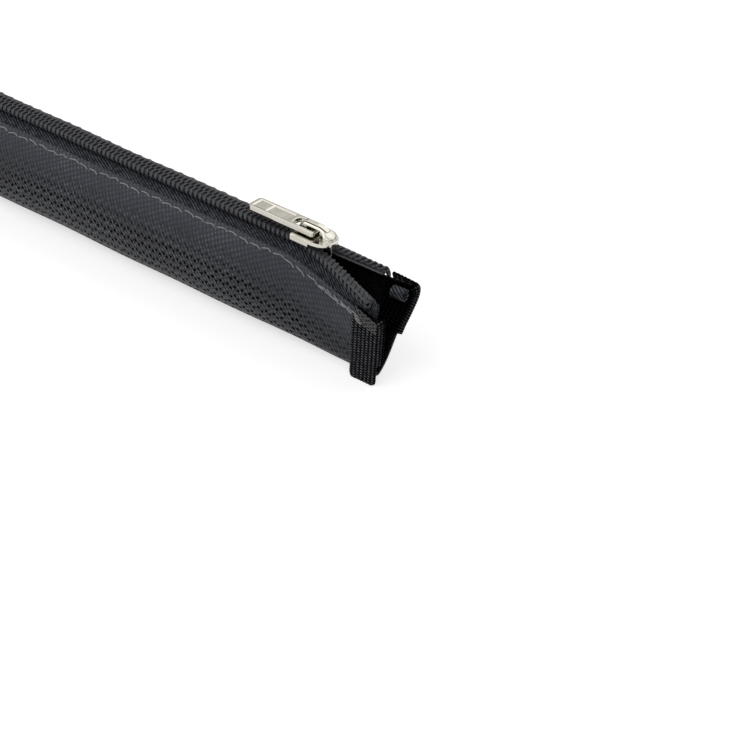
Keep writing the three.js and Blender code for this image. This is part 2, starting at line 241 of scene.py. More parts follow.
# Mesh making
def add_object(name, verts, faces, uvs=None):
    """verts are in millimetres, and uvs hold one pair for each vertex."""
    mesh = bpy.data.meshes.new(name)
    mesh.from_pydata([Vector(v) * MM for v in verts], [], faces)
    if uvs is not None:
        layer = mesh.uv_layers.new(name="cloth")
        for loop in mesh.loops:
            layer.data[loop.index].uv = uvs[loop.vertex_index]
    mesh.polygons.foreach_set("use_smooth", [True] * len(mesh.polygons))
    mesh.update()
    obj = bpy.data.objects.new(name, mesh)
    bpy.context.scene.collection.objects.link(obj)
    return obj


def mark_inside(obj, values):
    """Marks each vertex of cloth with 1 on its inner face, which the materials darken with painted
    shade.
    """
    layer = obj.data.attributes.new("inside", "FLOAT", "POINT")
    layer.data.foreach_set("value", values)


def grid_shell(name, rows_out, rows_in, uv_rows):
    """A closed shell from an outer and an inner grid of points."""
    count, across = len(rows_out), len(rows_out[0])
    verts = [p for row in rows_out for p in row] + [p for row in rows_in for p in row]
    uvs = [u for row in uv_rows for u in row] * 2
    half = count * across
    faces = []
    for r in range(count - 1):
        for k in range(across - 1):
            a = r * across + k
            faces.append((a, a + 1, a + across + 1, a + across))
            faces.append((half + a, half + a + across, half + a + across + 1, half + a + 1))
    for r in range(count - 1):
        for k in (0, across - 1):
            a, b = r * across + k, (r + 1) * across + k
            quad = (a, b, half + b, half + a)
            faces.append(quad if k == 0 else quad[::-1])
    for k in range(across - 1):
        for r in (0, count - 1):
            a, b = r * across + k, r * across + k + 1
            quad = (a, half + a, half + b, b)
            faces.append(quad if r == 0 else quad[::-1])
    obj = add_object(name, verts, faces, uvs)
    mark_inside(obj, [0.0] * half + [1.0] * half)
    face_out(obj)
    return obj


def face_out(obj):
    bm = bmesh.new()
    bm.from_mesh(obj.data)
    bmesh.ops.recalc_face_normals(bm, faces=bm.faces)
    bm.to_mesh(obj.data)
    bm.free()


def tube(path, radius, sides=8, wide=1.0):
    """Vertices and faces of a closed round wire along a path; wide stretches it across."""
    path = np.array(path, float)
    tangent = np.gradient(path, axis=0)
    tangent /= np.linalg.norm(tangent, axis=1)[:, None] + 1e-12
    verts, faces = [], []
    up = np.array([0.0, 0.0, 1.0])
    radii = np.broadcast_to(radius, len(path))
    for p, t, r in zip(path, tangent, radii):
        right = np.cross(t, up)
        if np.linalg.norm(right) < 1e-3:
            right = np.array([0.0, 1.0, 0.0])
        right /= np.linalg.norm(right)
        over = np.cross(right, t)
        for k in range(sides):
            a = 2 * math.pi * k / sides
            verts.append(p + r * (wide * math.cos(a) * right + math.sin(a) * over))
    for r in range(len(path) - 1):
        for k in range(sides):
            a, b = r * sides + k, r * sides + (k + 1) % sides
            faces.append((a, b, b + sides, a + sides))
    faces.append(tuple(range(sides))[::-1])
    last = (len(path) - 1) * sides
    faces.append(tuple(range(last, last + sides)))
    return verts, faces


def joined(name, parts):
    verts, faces = [], []
    for v, f in parts:
        base = len(verts)
        verts += list(v)
        faces += [tuple(base + i for i in face) for face in f]
    obj = add_object(name, verts, faces)
    face_out(obj)
    return obj


# Procedural materials
BLACK = (0.0, 0.0, 0.0)
INSIDE_DULLNESS = 0.85


class Net:
    """Short names for the shader nodes that the materials share."""

    def __init__(self, name):
        self.material = bpy.data.materials.new(name)
        self.material.use_nodes = True
        self.tree = self.material.node_tree
        self.shader = self.tree.nodes["Principled BSDF"]

    def node(self, kind, **values):
        made = self.tree.nodes.new(kind)
        for key, value in values.items():
            setattr(made, key, value)
        return made

    def feed(self, socket, value):
        if isinstance(value, bpy.types.NodeSocket):
            self.tree.links.new(value, socket)
        else:
            socket.default_value = value

    def math(self, operation, a, b=0.0):
        made = self.node("ShaderNodeMath", operation=operation)
        self.feed(made.inputs[0], a)
        self.feed(made.inputs[1], b)
        return made.outputs[0]

    def range(self, value, low, high, to_low=0.0, to_high=1.0):
        made = self.node("ShaderNodeMapRange", interpolation_type="SMOOTHSTEP")
        for socket, v in zip(made.inputs, (value, low, high, to_low, to_high)):
            self.feed(socket, v)
        return made.outputs[0]

    def uv(self):
        split = self.node("ShaderNodeSeparateXYZ")
        self.tree.links.new(self.node("ShaderNodeTexCoord").outputs["UV"], split.inputs[0])
        return split.outputs[0], split.outputs[1]

    def inside(self):
        """1 on the inner faces of the cloth, and 0 elsewhere."""
        return self.node("ShaderNodeAttribute", attribute_name="inside").outputs["Fac"]

    def noise(self, scale, detail=2.0):
        made = self.node("ShaderNodeTexNoise")
        made.inputs["Scale"].default_value = scale
        made.inputs["Detail"].default_value = detail
        place = self.node("ShaderNodeTexCoord").outputs["Object"]
        self.tree.links.new(place, made.inputs["Vector"])
        return made.outputs[0]

    def blend(self, factor, a, b):
        made = self.node("ShaderNodeMix", data_type="RGBA")
        self.feed(made.inputs[0], factor)
        self.feed(made.inputs[6], a if isinstance(a, bpy.types.NodeSocket) else (*a, 1))
        self.feed(made.inputs[7], b if isinstance(b, bpy.types.NodeSocket) else (*b, 1))
        return made.outputs[2]

    def painted_inner_shade(self, color, share):
        """The colour with painted shade, darker on the inner faces of the cloth."""
        dark = self.blend(1.0 - share, BLACK, color)
        return self.blend(self.inside(), color, dark)

    def sheen(self, value):
        """Sets how much the surface reflects, with less on the inner faces of the cloth."""
        lost = self.math("MULTIPLY", self.inside(), INSIDE_DULLNESS)
        left = self.math("SUBTRACT", 1.0, lost)
        self.feed(self.shader.inputs["Specular IOR Level"], self.math("MULTIPLY", value, left))

    def bump(self, height, distance, strength=1.0):
        made = self.node("ShaderNodeBump")
        made.inputs["Strength"].default_value = strength
        made.inputs["Distance"].default_value = distance
        self.tree.links.new(height, made.inputs["Height"])
        self.tree.links.new(made.outputs[0], self.shader.inputs["Normal"])

    def finish(self, color, roughness, **sockets):
        self.feed(self.shader.inputs["Base Color"], color)
        self.feed(self.shader.inputs["Roughness"], roughness)
        for key, value in sockets.items():
            self.shader.inputs[key.replace("_", " ")].default_value = value
        return self.material


def wave(net, value, period, phase=0.0):
    """A sine between 0 and 1 over a distance in millimetres."""
    turns = net.math("ADD", net.math("MULTIPLY", value, 2 * math.pi / period), phase)
    made = net.node("ShaderNodeMath", operation="MULTIPLY_ADD")
    net.feed(made.inputs[0], net.math("SINE", turns))
    made.inputs[1].default_value = 0.5
    made.inputs[2].default_value = 0.5
    return made.outputs[0]


# The mesh has two holes in each cell of this size, and each set of holes has its place in the cell
HOLE_ALONG = 2.45
HOLE_AROUND = 2.75
HOLE_PLACES = ((0.22, 0.64), (0.78, 0.36))
HOLE_LONG = 0.46
HOLE_HIGH = 0.44
YARN_PERIOD = 1.94
YARN_PHASE = 4.19
WEFT_PERIOD = 1.37
TWILL_PERIOD = 1.45
TWILL_FINE_PERIOD = 0.62
WEBBING_PERIOD = 0.72


def hole(net, u, v, place):
    """Distance from the nearest hole of one set, as a share of its size."""
    at_u, at_v = place
    cu = net.math("SUBTRACT", net.math("FRACT", net.math("DIVIDE", u, HOLE_ALONG)), at_u)
    cv = net.math("SUBTRACT", net.math("FRACT", net.math("DIVIDE", v, HOLE_AROUND)), at_v)
    du = net.math("MULTIPLY", cu, HOLE_ALONG / HOLE_LONG)
    dv = net.math("MULTIPLY", cv, HOLE_AROUND / HOLE_HIGH)
    squares = [net.math("MULTIPLY", d, d) for d in (du, dv)]
    return net.math("SQRT", net.math("ADD", *squares))


def mesh_cloth():
    net = Net("coated mesh cloth")
    u, v = net.uv()
    drift = net.math("SUBTRACT", net.noise(160.0, 1.0), 0.5)
    u = net.math("ADD", u, net.math("MULTIPLY", drift, 0.5))
    v = net.math("ADD", v, net.math("MULTIPLY", drift, 0.5))
    across = net.math("ABSOLUTE", v)
    first, second = (hole(net, u, across, place) for place in HOLE_PLACES)
    ragged = net.math("MULTIPLY", net.math("SUBTRACT", net.noise(900.0, 2.0), 0.5), 0.7)
    nearest = net.math("ADD", net.math("MINIMUM", first, second), ragged)
    solid = net.range(nearest, 0.7, 1.3)
    # The zone down the walls, away from the lips: the holes open more there, and the cloth gets
    # painted shade
    open_and_shaded_zone = net.range(across, 9.0, 19.0)
    patches = net.noise(42.0, 3.0)
    depth = net.math("MULTIPLY", open_and_shaded_zone, net.range(patches, 0.34, 0.52, 0.6, 1.0))
    gap = net.math("MULTIPLY", net.math("SUBTRACT", 1.0, solid), depth)
    solid = net.math("SUBTRACT", 1.0, gap)
    warp = net.math("SUBTRACT", net.math("MULTIPLY", u, 1.52), across)
    yarn = wave(net, warp, YARN_PERIOD, YARN_PHASE)
    weft = wave(net, net.math("ADD", net.math("MULTIPLY", u, 0.55), across), WEFT_PERIOD)
    speck = net.noise(700.0, 2.0)
    height = net.math("ADD", solid, net.math("MULTIPLY", yarn, 0.45))
    height = net.math("ADD", height, net.math("MULTIPLY", weft, 0.25))
    height = net.math("ADD", height, net.math("MULTIPLY", speck, 0.5))
    # Painted shade: the cloth colour is darker down the walls than near the lips
    low = net.math("MULTIPLY", open_and_shaded_zone, 0.9)
    cloth = net.blend(low, (0.028, 0.0315, 0.042), (0.0045, 0.0052, 0.008))
    # Weave texture with painted highlight: the crossing yarns are lighter, in random patches
    bright = net.range(patches, 0.35, 0.65, 0.35, 1.0)
    thread = net.math("MULTIPLY", net.math("MULTIPLY", yarn, weft), bright)
    thread = net.math("MULTIPLY", thread, net.range(speck, 0.35, 0.65, 0.4, 1.2))
    lit = net.blend(thread, cloth, (0.115, 0.123, 0.148))
    # The holes are black, and the inner faces get painted shade
    color = net.painted_inner_shade(net.blend(solid, BLACK, lit), 0.85)
    net.sheen(net.math("MULTIPLY", solid, 0.3))
    rough = net.range(yarn, 0.0, 1.0, 0.56, 0.38)
    net.bump(height, 0.0002, 0.9)
    return net.finish(color, rough)


def twill_tape():
    net = Net("twill zip tape")
    u, v = net.uv()
    across = net.math("ABSOLUTE", v)
    streak = net.noise(210.0, 3.0)
    fuzz = net.noise(800.0, 2.0)
    slant = net.math("SUBTRACT", u, net.math("MULTIPLY", across, 1.7))
    slant = net.math("ADD", slant, net.math("MULTIPLY", streak, 1.6))
    twill = wave(net, slant, TWILL_PERIOD)
    steeper = net.math("ADD", slant, net.math("MULTIPLY", across, 0.3))
    fine = wave(net, steeper, TWILL_FINE_PERIOD)
    rib = net.math("MULTIPLY", twill, net.math("ADD", net.math("MULTIPLY", fine, 0.6), 0.4))
    rib = net.math("MULTIPLY", rib, net.range(fuzz, 0.3, 0.7, 0.35, 1.15))
    base = net.blend(rib, (0.01, 0.0105, 0.015), (0.14, 0.147, 0.17))
    # Painted shade: the inner faces of the tape are darker
    color = net.painted_inner_shade(base, 0.9)
    height = net.math("ADD", twill, net.math("MULTIPLY", fine, 0.4))
    net.bump(net.math("ADD", height, fuzz), 0.00018, 0.9)
    net.sheen(net.math("MULTIPLY", rib, 0.4))
    return net.finish(color, 0.6)


def binding_webbing():
    net = Net("ribbed binding webbing")
    u, v = net.uv()
    fuzz = net.noise(900.0, 2.0)
    shift = net.math("MULTIPLY", fuzz, 0.25)
    cross = wave(net, net.math("ADD", v, shift), WEBBING_PERIOD)
    ribs = wave(net, u, BINDING_WIDTH / RIBS)
    dots = net.math("MULTIPLY", net.math("MULTIPLY", cross, cross), ribs)
    dots = net.math("MULTIPLY", dots, net.range(fuzz, 0.3, 0.7, 0.5, 1.3))
    base = net.blend(dots, (0.0035, 0.0038, 0.0045), (0.15, 0.155, 0.172))
    # Painted shade: the inner leg of the webbing is darker
    color = net.painted_inner_shade(base, 0.95)
    net.bump(net.math("ADD", cross, ribs), 0.00013, 0.9)
    net.sheen(net.math("MULTIPLY", dots, 0.4))
    return net.finish(color, 0.66)


def nylon_wire():
    net = Net("nylon filament")
    speck = net.noise(1200.0, 2.0)
    color = net.blend(speck, (0.02, 0.021, 0.026), (0.046, 0.048, 0.057))
    net.bump(speck, 0.00003, 0.5)
    return net.finish(color, net.range(speck, 0.3, 0.7, 0.32, 0.5))


def sewing_thread(name, dark, light):
    net = Net(name)
    ply = net.noise(2600.0, 2.0)
    color = net.blend(ply, dark, light)
    net.bump(ply, 0.00005, 0.8)
    return net.finish(color, 0.6, Sheen_Weight=0.2)


def polished_nickel():
    net = Net("polished nickel")
    handled = net.noise(380.0, 4.0)
    cloudy = net.noise(140.0, 2.0)
    bright = net.blend(cloudy, (0.5, 0.475, 0.42), (0.66, 0.635, 0.575))
    # Painted shade: an ambient occlusion node darkens the colour in creases and crevices
    crevice = net.node("ShaderNodeAmbientOcclusion")
    crevice.inputs["Distance"].default_value = 0.0012
    crevice_shade = net.range(crevice.outputs["AO"], 0.25, 0.85)
    color = net.blend(crevice_shade, (0.06, 0.052, 0.04), bright)
    net.bump(handled, 0.00002, 0.2)
    return net.finish(color, net.range(handled, 0.3, 0.75, 0.1, 0.24), Metallic=1.0)


MESH = mesh_cloth()
TWILL = twill_tape()
WEBBING = binding_webbing()
WIRE = nylon_wire()
SEAM_THREAD = sewing_thread("pale seam thread", (0.16, 0.16, 0.16), (0.42, 0.42, 0.41))
TACK_THREAD = sewing_thread("grey tack thread", (0.03, 0.032, 0.031), (0.12, 0.125, 0.118))
DARK_THREAD = sewing_thread("dark zip thread", (0.028, 0.029, 0.035), (0.085, 0.088, 0.1))
NICKEL = polished_nickel()


def finished(obj, material, body="sleeve"):
    obj.data.materials.clear()
    obj.data.materials.append(material)
    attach(obj, body)
    return obj


# Cloth walls
SEAM_PUCKER = 0.07
CLOTH_WAVE = 0.16
CALM_LENGTH = 12.0
PANEL_STEP = 1.24
PANEL_ACROSS = 64
TAPE_STEP = 1.5
TAPE_ACROSS = 14
EDGE_ROUND = 0.5


def soft_wave(x, s):
    """Slow unevenness of the cloth, with puckers along the seam, in millimetres."""
    calm = MOUTH_X - 9
    fade = clamp01((calm - x) / CALM_LENGTH) * clamp01((x + calm) / CALM_LENGTH)
    slow = CLOTH_WAVE * math.sin(x * 0.11 + s * 0.21) * math.sin(x * 0.047 - s * 0.13 + 1.2)
    near_seam = math.exp(-(((s - seam_line(x)) / 1.6) ** 2))
    pucker = SEAM_PUCKER * math.sin(2 * math.pi * x / STITCH_PITCH) * near_seam
    return fade * (slow + pucker)


def cloth_shell(name, xs, row):
    """A shell whose rows of outer points, inner points and flat places row(x) gives."""
    rows = [row(x) for x in xs]
    return grid_shell(name, *([r[k] for r in rows] for k in range(3)))


def panel_row(x):
    length = girth(x)
    inset = seam_inset(x)
    out, inner, uvs = [], [], []
    for k in range(PANEL_ACROSS + 1):
        s = mix(inset, length - inset, k / PANEL_ACROSS)
        near = min(s, length - s)
        hem = 0.12 * math.exp(-(((near - inset - 0.8) / 0.9) ** 2))
        thick = PANEL_THICK / 2 * (0.35 + 0.65 * quarter_round((near - inset) / EDGE_ROUND))
        lift = soft_wave(x, near)
        p = wall_point(x, -1, s, thick + hem + lift)
        q = wall_point(x, -1, s, -thick + min(0, lift) * 0.5)
        p[2], q[2] = max(p[2], 0.0), max(q[2], 0.25)
        out.append(p)
        inner.append(q)
        uvs.append((x, s if s < length / 2 else s - length))
    return out, inner, uvs


def panel():
    xs = np.arange(-PANEL_END, PANEL_END + 0.1, PANEL_STEP)
    xs = np.append(xs[xs < PANEL_END - 0.4], PANEL_END)
    obj = finished(cloth_shell("mesh_wall", xs, panel_row), MESH)
    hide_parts("mesh_panel")
    width = girth(0) - 2 * SEAM_INSET


def tape_row(x, side):
    middle = (TAPE_TOP + TAPE_BOTTOM) / 2
    out, inner, uvs = [], [], []
    for k in range(TAPE_ACROSS + 1):
        s = TAPE_WIDTH * k / TAPE_ACROSS
        half = TAPE_THICK / 2 * (0.3 + 0.7 * quarter_round(s / EDGE_ROUND))
        out.append(wall_point(x, side, s, middle + half))
        inner.append(wall_point(x, side, s, middle - half))
        uvs.append((x, side * s))
    return out, inner, uvs


def tape(side, name):
    end = MOUTH_X - TAPE_SETBACK
    xs = np.append(np.arange(-end, end - 0.5, TAPE_STEP), end)
    shell = cloth_shell(name, xs, lambda x: tape_row(x, side))
    obj = finished(shell, TWILL)
    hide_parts("near_zip_tape" if side < 0 else "far_zip_tape")


# Zip coils: one filament wound in a flattened helix along each lip
COIL_MIDDLE = (COIL_BACK - COIL_HEAD) / 2
TURN_STEPS = 14
TURN_SQUARE_ACROSS = 0.8
TURN_SQUARE_UP = 0.75
TURN_LEAN = 0.11
CORD_RADIUS = 0.27
CORD_WIDE = 4.5
CORD_TO_LIP = 0.35
BED_RADIUS = 0.24
BED_WIDE = 5.4
BED_RISE = 0.32
COIL_STITCH_FROM = 0.95
COIL_STITCH_TO = 2.5


def squared(value, power):
    """A sine or cosine with its ends made flatter."""
    return math.copysign(abs(value) ** power, value)


def coil(side, name, to_x):
    half_wide = (COIL_BACK + COIL_HEAD) / 2 - WIRE_RADIUS
    half_high = (COIL_HEIGHT - WIRE_LIFT) / 2 - WIRE_RADIUS
    rise = TAPE_TOP + WIRE_LIFT + WIRE_RADIUS + half_high
    first = math.ceil(REAR_COIL_END / COIL_PITCH)
    last = math.floor(to_x / COIL_PITCH)
    path = []
    for k in range((last - first) * TURN_STEPS + 1):
        turn = k / TURN_STEPS
        angle = 2 * math.pi * turn
        x = (first + turn + (0 if side < 0 else 0.5)) * COIL_PITCH
        x += TURN_LEAN * COIL_PITCH * math.sin(2 * angle)
        across = COIL_MIDDLE - half_wide * squared(math.cos(angle), TURN_SQUARE_ACROSS)
        high = rise + half_high * squared(math.sin(angle), TURN_SQUARE_UP)
        lip, along, up = lip_frame(x, side)
        path.append((x, *(lip + along * across + up * high)))
    obj = finished(joined(name, [tube(path, WIRE_RADIUS, 8)]), WIRE)
    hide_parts("near_coil" if side < 0 else "far_coil")


def coil_sewing(side, name, to_x):
    """The flat cord inside the filament, the thread bed under it and the stitches over it."""
    cord, bed = [], []
    for x in np.arange(REAR_COIL_END + 0.8, to_x - 0.8, COIL_PITCH / 2):
        lip, along, up = lip_frame(x, side)
        base = lip + along * (COIL_MIDDLE - CORD_TO_LIP)
        cord.append((x, *(base + up * (TAPE_TOP + WIRE_LIFT + COIL_HEIGHT / 2))))
        bed.append((x, *(base + up * (TAPE_TOP + WIRE_LIFT + BED_RISE))))
    parts = [tube(cord, CORD_RADIUS, 8, CORD_WIDE), tube(bed, BED_RADIUS, 8, BED_WIDE)]
    count = math.floor((to_x - REAR_COIL_END - 2) / COIL_PITCH)
    for k in range(count):
        x = REAR_COIL_END + 1 + (k + 0.5) * COIL_PITCH
        parts.append(coil_stitch(x, side))
    finished(joined(name, parts), DARK_THREAD)


def coil_stitch(x, side):
    """One stitch that slants across a turn of the coil and is thick in its middle."""
    path, radii = [], []
    for k in range(9):
        w = k / 8
        bow = math.sin(math.pi * w) ** 0.5
        at = x + COIL_PITCH * (0.62 * w - 0.31)
        lip, along, up = lip_frame(at, side)
        high = TAPE_TOP + COIL_HEIGHT - 0.5 - 0.55 * w + 0.4 * bow
        p = lip + along * mix(COIL_STITCH_FROM, COIL_STITCH_TO, w) + up * high
        path.append((at, *p))
        radii.append(0.08 + 0.17 * bow)
    return tube(path, radii, 8)


# Seam stitches: each rises from the cloth, runs along and dips back in
SEAM_LIFT = 0.16
TAIL_LIFT = 0.1
DOUBLE_LIFT = 0.24
DOUBLE_LENGTH = 2.0
DOUBLE_PITCH = 2.35


def stitch(x0, x1, side, s0, s1, lift=SEAM_LIFT):
    path = []
    for k in range(9):
        w = k / 8
        x = mix(x0, x1, w)
        s = mix(s0, s1, w)
        bow = math.sin(math.pi * w) ** 0.6
        sunk = PANEL_THICK / 2 + soft_wave(x, s) - THREAD_RADIUS * 0.8
        path.append(wall_point(x, side, s, sunk + (lift + 0.1) * bow))
    return tube(path, THREAD_RADIUS, 6)


def seam(side, name):
    """Stitches with loose tails, and a closer double row near the mouth."""
    parts = []
    x = -BINDING_START + 0.6
    k = 0
    while x < BINDING_START - 0.4:
        long = STITCH_PITCH * (0.66 + 0.08 * math.sin(k * 2.3))
        end = x + min(long, BINDING_START - x)
        sway = 0.12 + 0.2 * math.sin(k * 1.3)
        line = seam_line(x) + 0.2 * math.sin(k * 1.7)
        parts.append(stitch(x, end, side, line + sway, line - sway))
        parts.append(stitch(end - 0.2, end + 0.9, side, line - sway, line - sway + 0.55, TAIL_LIFT))
        x += STITCH_PITCH
        k += 1
    for row, start in ((0.35, 12.0), (-0.45, 9.5)):
        x = BINDING_START - start
        while x < BINDING_START - 1.5:
            line = seam_line(x)
            to_x = x + DOUBLE_LENGTH
            parts.append(stitch(x, to_x, side, line + row, line + row * 0.4, DOUBLE_LIFT))
            x += DOUBLE_PITCH
    finished(joined(name, parts), SEAM_THREAD)


# Bindings: ribbed webbing folded over the end of a wall
def binding_profile(wide, inner_leg=True):
    """Depth along the wall and offset off it, in turn round the folded webbing."""
    outer = OUTER_LEG + BINDING_THICK
    inner = INNER_LEG - BINDING_THICK
    round_r = 0.55
    line = []
    face = np.linspace(0, wide - round_r, 46)
    for d in face:
        rib = RIB_DEPTH * (0.5 + 0.5 * math.cos(2 * math.pi * d / wide * RIBS))
        line.append((d, outer - RIB_DEPTH + rib - 0.25 * (1 - quarter_round(d / 0.3))))
    turn = wide - round_r
    for k in range(1, 6):
        a = math.pi / 2 * k / 5
        line.append((turn + round_r * math.sin(a), outer - round_r + round_r * math.cos(a)))
    if inner_leg:
        for k in range(0, 6):
            a = math.pi / 2 * k / 5
            line.append((turn + round_r * math.cos(a), inner + round_r - round_r * math.sin(a)))
        line += [(wide * w, inner) for w in (0.75, 0.5, 0.25, 0.03)]
        line += [(0.0, inner + 0.2), (0.0, INNER_LEG - 0.15), (0.2, INNER_LEG)]
        line += [(wide - BINDING_THICK, INNER_LEG), (wide - BINDING_THICK, OUTER_LEG)]
    else:
        line += [(wide, OUTER_LEG + 0.1), (wide - 0.1, OUTER_LEG)]
    line += [(wide * 0.5, OUTER_LEG), (0.1, OUTER_LEG), (0.0, OUTER_LEG + 0.15)]
    return line


def webbing_sweep(rings, profile):
    count = len(profile)
    verts = [p for ring in rings for p in ring]
    faces = []
    for r in range(len(rings) - 1):
        for k in range(count):
            a, b = r * count + k, r * count + (k + 1) % count
            faces.append((a, b, b + count, a + count))
    faces.append(tuple(range(count)))
    last = (len(rings) - 1) * count
    faces.append(tuple(range(last, last + count))[::-1])
    return verts, faces


def corner_inset(distance):
    """How far the rounded corner of the webbing draws in, at a distance from its end."""
    return CORNER * (1 - quarter_round(distance / (2 * CORNER)))


def travel(profile):
    """The distance gone round a profile at each of its points."""
    gone = [0.0]
    for (d0, o0), (d1, o1) in zip(profile, profile[1:]):
        gone.append(gone[-1] + math.hypot(d1 - d0, o1 - o0))
    return gone


def webbing_foot(side, foot):
    """The outer leg's straight run from the fold down to the floor, with rounded corners."""
    profile = binding_profile(BINDING_WIDTH, inner_leg=False)
    top = [wall_point(BINDING_START + d, side, foot, o) for d, o in profile]
    middle_x = MOUTH_X - BINDING_WIDTH / 2
    rings = []
    for k in range(13):
        share = (k / 12) ** 0.7
        squeeze = 1 - 2 * corner_inset(mix(top[0][2], 0.0, share)) / BINDING_WIDTH
        ring = []
        for p in top:
            ring.append((middle_x + (p[0] - middle_x) * squeeze, p[1], mix(p[2], 0.0, share)))
        rings.append(ring)
    uvs = []
    for ring in rings:
        uvs += [(t, foot + q[2] - p[2]) for t, q, p in zip(travel(profile), top, ring)]
    return *webbing_sweep(rings, profile), uvs


def binding(name, node, end, side, start, stop, foot=None):
    profile = binding_profile(BINDING_WIDTH)
    gone = travel(profile)
    middle = (OUTER_LEG + INNER_LEG) / 2
    steps = max(8, round((stop - start) / 0.5))
    rings, uvs, inside = [], [], []
    for k in range(steps + 1):
        s = mix(start, stop, k / steps)
        fade = quarter_round(min(s - start, stop - s) / 0.35)
        inset = corner_inset(s - start)
        ring = []
        for (depth, offset), t in zip(profile, gone):
            thin = middle + (offset - middle) * (0.93 + 0.07 * fade)
            at = mix(inset, BINDING_WIDTH - inset, depth / BINDING_WIDTH)
            ring.append(wall_point(end * (BINDING_START + at), side, s, thin))
            uvs.append((t, s))
            inside.append(1.0 if offset < 0 else 0.0)
        rings.append(ring)
    verts, faces = webbing_sweep(rings, profile)
    if foot:
        base = len(verts)
        more, more_faces, more_uvs = webbing_foot(side, foot)
        verts += more
        faces += [tuple(base + i for i in f) for f in more_faces]
        uvs += more_uvs
    obj = add_object(name, verts, faces, uvs)
    mark_inside(obj, inside + [0.0] * (len(verts) - len(inside)))
    face_out(obj)
    finished(obj, WEBBING)
    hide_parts(node)


def distance_at(x, height):
    """The distance from the near lip at which the wall comes down to a height."""
    s = 0.0
    while s < girth(x) / 2 and wall_point(x, -1, s, 0)[2] > height:
        s += 0.1
    return s


def seam_over_binding():
    """The seam's last stitches, which run on over the corner of the binding."""
    parts = []
    face = OUTER_LEG + BINDING_THICK
    for s, x0 in ((5.0, 0.25), (5.6, 0.7), (6.2, 1.1)):
        path = []
        for k in range(8):
            w = k / 7
            x = BINDING_START + x0 + 1.9 * w
            lift = 0.05 + 0.18 * math.sin(math.pi * w)
            path.append(wall_point(x, -1, s + 0.25 * w, face + lift))
        parts.append(tube(path, 0.16, 6))
    finished(joined("near_seam_end", parts), SEAM_THREAD)


CURL_FROM = MOUTH_X - 4.6
CURL_TO = MOUTH_X - 0.6
CURL_BELOW_LIP = 2.6
CURL_RADIUS = 1.75
CURL_TURNS = 1.45
CURL_TIGHTENING = 0.558
CURL_THICK = 0.42
CURL_STEPS = 56


def far_tape_curl():
    """The far tape's free end, rolled up inside the mouth."""
    off_wall = INNER_LEG - BINDING_THICK - CURL_RADIUS - 0.1
    middle = wall_point(MOUTH_X - 3, 1, CURL_BELOW_LIP, off_wall)[1:]
    rings, uvs = [], []
    for k in range(CURL_STEPS + 1):
        turn = CURL_TURNS * k / CURL_STEPS
        angle = 2 * math.pi * turn + 0.6
        outer = CURL_RADIUS - CURL_TIGHTENING * turn
        inner = outer - CURL_THICK
        ring = []
        for x, r in ((CURL_FROM, outer), (CURL_TO, outer), (CURL_TO, inner), (CURL_FROM, inner)):
            ring.append((x, middle[0] + r * math.cos(angle), middle[1] + r * math.sin(angle)))
            uvs.append((x, outer * angle))
        rings.append(ring)
    obj = add_object("far_tape_curl", *webbing_sweep(rings, range(4)), uvs)
    soft = obj.modifiers.new("soft edges", "BEVEL")
    soft.width = 0.12 * MM
    soft.segments = 2
    face_out(obj)
    finished(obj, TWILL)


TACK_TOP = 3.75
TACK_ROWS = 6
TACK_ROW_PITCH = 0.5
TACKS_IN_ROW = 9
TACK_PITCH = 0.78
TACK_LONG = 0.85
TACK_SLANT = 0.45


def bar_tack():
    """Close grey stitches across the top of the near binding."""
    parts = []
    face = OUTER_LEG + BINDING_THICK
    for row in range(TACK_ROWS):
        s = TACK_TOP + TACK_ROW_PITCH * row
        for k in range(TACKS_IN_ROW):
            x0 = BINDING_START + 0.55 + k * TACK_PITCH
            path = []
            for j in range(6):
                w = j / 5
                lift = 0.12 * math.sin(math.pi * w) - 0.05
                slant = TACK_SLANT * (w - 0.5) * (-1) ** (row + k)
                path.append(wall_point(x0 + TACK_LONG * w, -1, s + slant, face + lift))
            parts.append(tube(path, TACK_RADIUS, 6))
    finished(joined("near_bar_tack", parts), TACK_THREAD)


panel()
tape(-1, "near_tape")
tape(1, "far_tape")
coil(-1, "near_coil_wire", NEAR_COIL_END)
coil(1, "far_coil_wire", FAR_COIL_END)
coil_sewing(-1, "near_coil_sewing", NEAR_COIL_END)
coil_sewing(1, "far_coil_sewing", FAR_COIL_END)
seam(-1, "near_seam")
seam(1, "far_seam")
near_to = distance_at(MOUTH_X, NEAR_BINDING_INNER_FOOT)
near_from = NEAR_BINDING_TOP
binding("near_mouth_webbing", "mouth_near_binding", 1, -1, near_from, near_to, foot=near_to - 0.4)
far_to = FAR_BINDING_TOP + FAR_BINDING_LENGTH
binding("far_mouth_webbing", "mouth_far_binding", 1, 1, FAR_BINDING_TOP, far_to)
rear_to = distance_at(-MOUTH_X, REAR_BINDING_FOOT)
binding("near_rear_webbing", "rear_near_binding", -1, -1, near_from, rear_to)
binding("far_rear_webbing", "rear_far_binding", -1, 1, near_from, rear_to)
bar_tack()
seam_over_binding()
far_tape_curl()


# Metal pieces keep their solid shape and get softened edges
def polish(node, voxel, rounds):
    """Rounds all edges as a cast and tumbled piece has them."""
    obj = bpy.data.objects[node]
    obj.data.materials.clear()
    obj.data.materials.append(NICKEL)
    remesh = obj.modifiers.new("even faces", "REMESH")
    remesh.mode = "VOXEL"
    remesh.voxel_size = voxel * MM
    remesh.use_smooth_shade = True
    soften = obj.modifiers.new("rounded edges", "SMOOTH")
    soften.factor = 0.5
    soften.iterations = rounds


polish("slider_body", 0.11, 9)
polish("lock_spring", 0.07, 3)
polish("pull_tab", 0.1, 5)


# Floor, light and camera
FLOOR_HALF = 3.0
FLOOR_DROP = 0.00002
FLOOR_GLOW = 0.62
AMBIENT = 0.3


